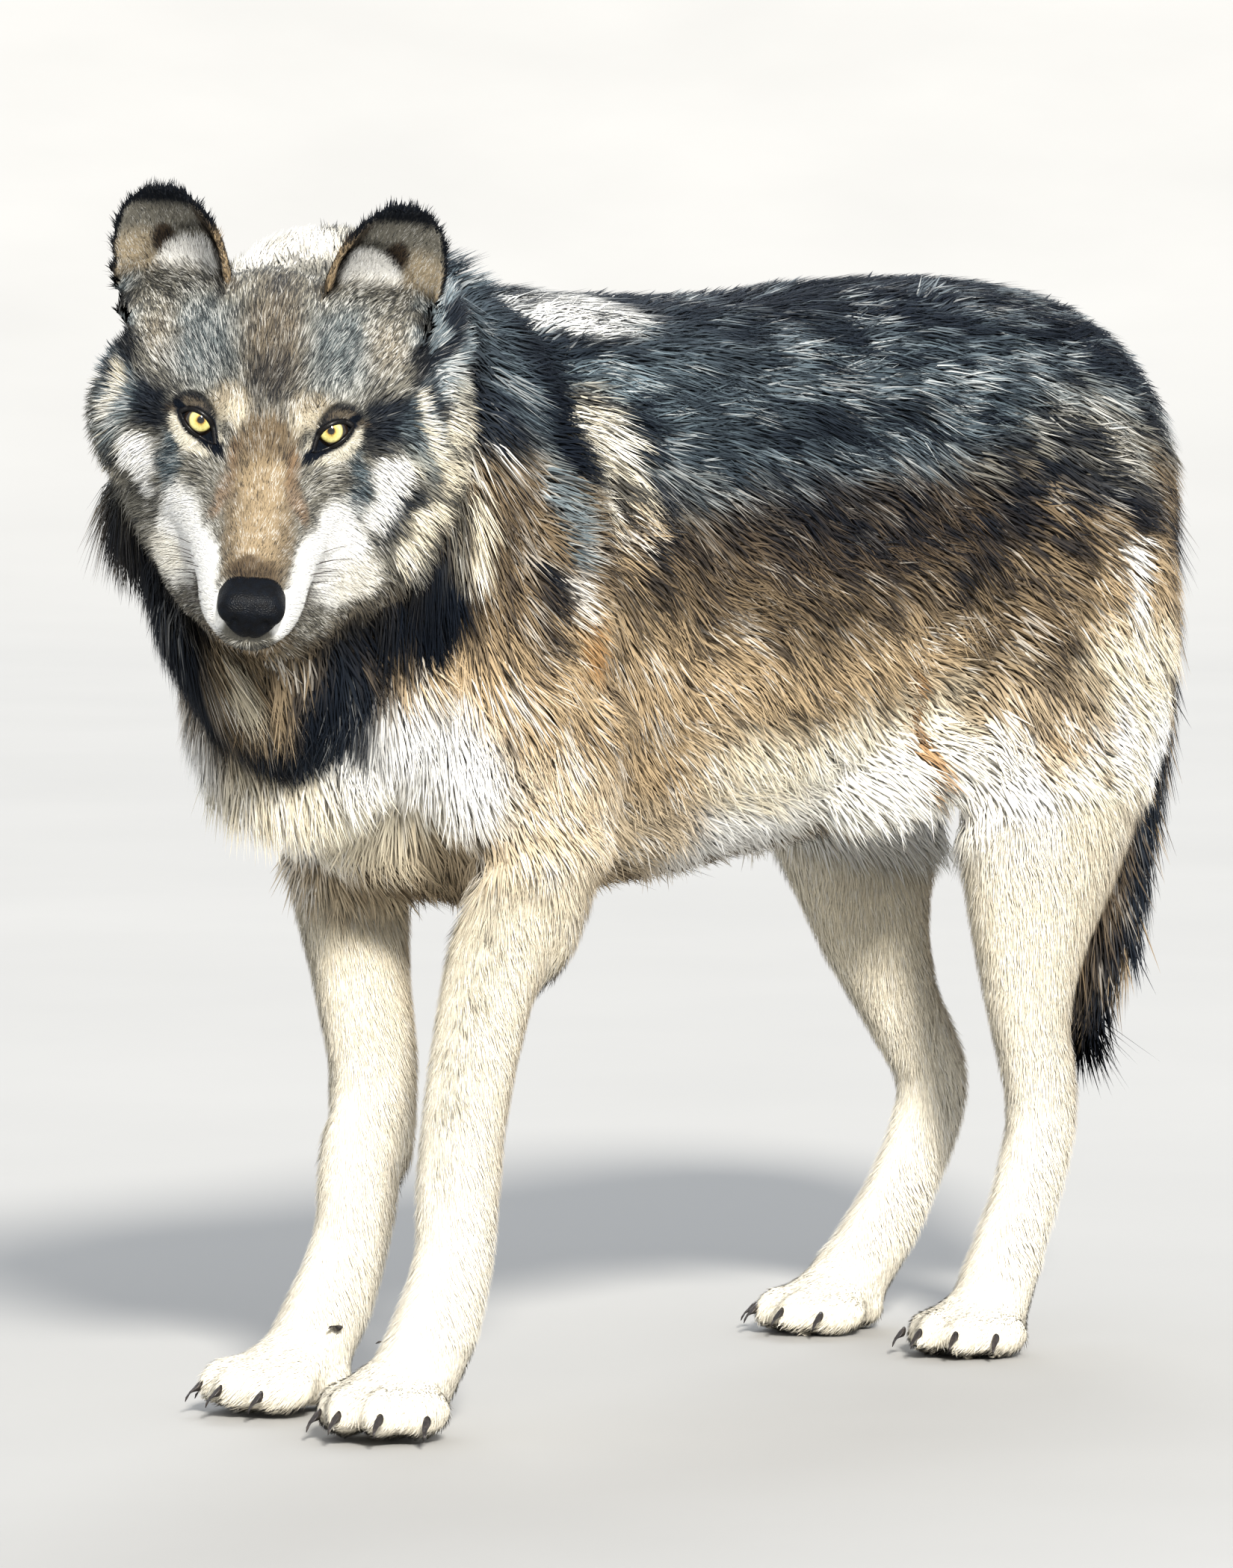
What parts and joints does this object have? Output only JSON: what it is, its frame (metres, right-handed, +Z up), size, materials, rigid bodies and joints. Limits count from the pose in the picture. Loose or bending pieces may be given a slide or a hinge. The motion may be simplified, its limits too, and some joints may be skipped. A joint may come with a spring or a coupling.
{
  "type": "timber wolf",
  "caption": "Life-size timber wolf standing on all fours in winter coat, its head lowered a little and turned to its left, tail hanging down.",
  "frame": {"origin": "on the floor, at the middle of the base of the whole body's box", "axes": "+Z up; the wolf faces -Y, so +Y runs from its head to its tail; +X towards its own left side"},
  "size_m": [0.323, 1.1272, 0.8363],
  "materials": {
    "trunk": "grizzled coat of the trunk",
    "neck": "dark ruff",
    "head": "short coat of the head",
    "ear_left": "fur",
    "ear_right": "fur",
    "tail": "dark brush",
    "foreleg_left": "fur",
    "foreleg_right": "fur",
    "hind_leg_left": "fur",
    "hind_leg_right": "fur",
    "forepaw_left": "fur",
    "forepaw_right": "fur",
    "hind_paw_left": "fur",
    "hind_paw_right": "fur",
    "nose": "moist black skin",
    "eye": "wet, yellow iris"
  },
  "bodies": {
    "root": {"trunk": "trunk", "neck": "neck", "head": "head", "ear_left": "ear_left", "ear_right": "ear_right", "tail": "tail", "foreleg_left": "foreleg_left", "foreleg_right": "foreleg_right", "hind_leg_left": "hind_leg_left", "hind_leg_right": "hind_leg_right", "forepaw_left": "forepaw_left", "forepaw_right": "forepaw_right", "hind_paw_left": "hind_paw_left", "hind_paw_right": "hind_paw_right", "nose": "nose", "eye_left": "eye", "eye_right": "eye"}
  },
  "joints": []
}
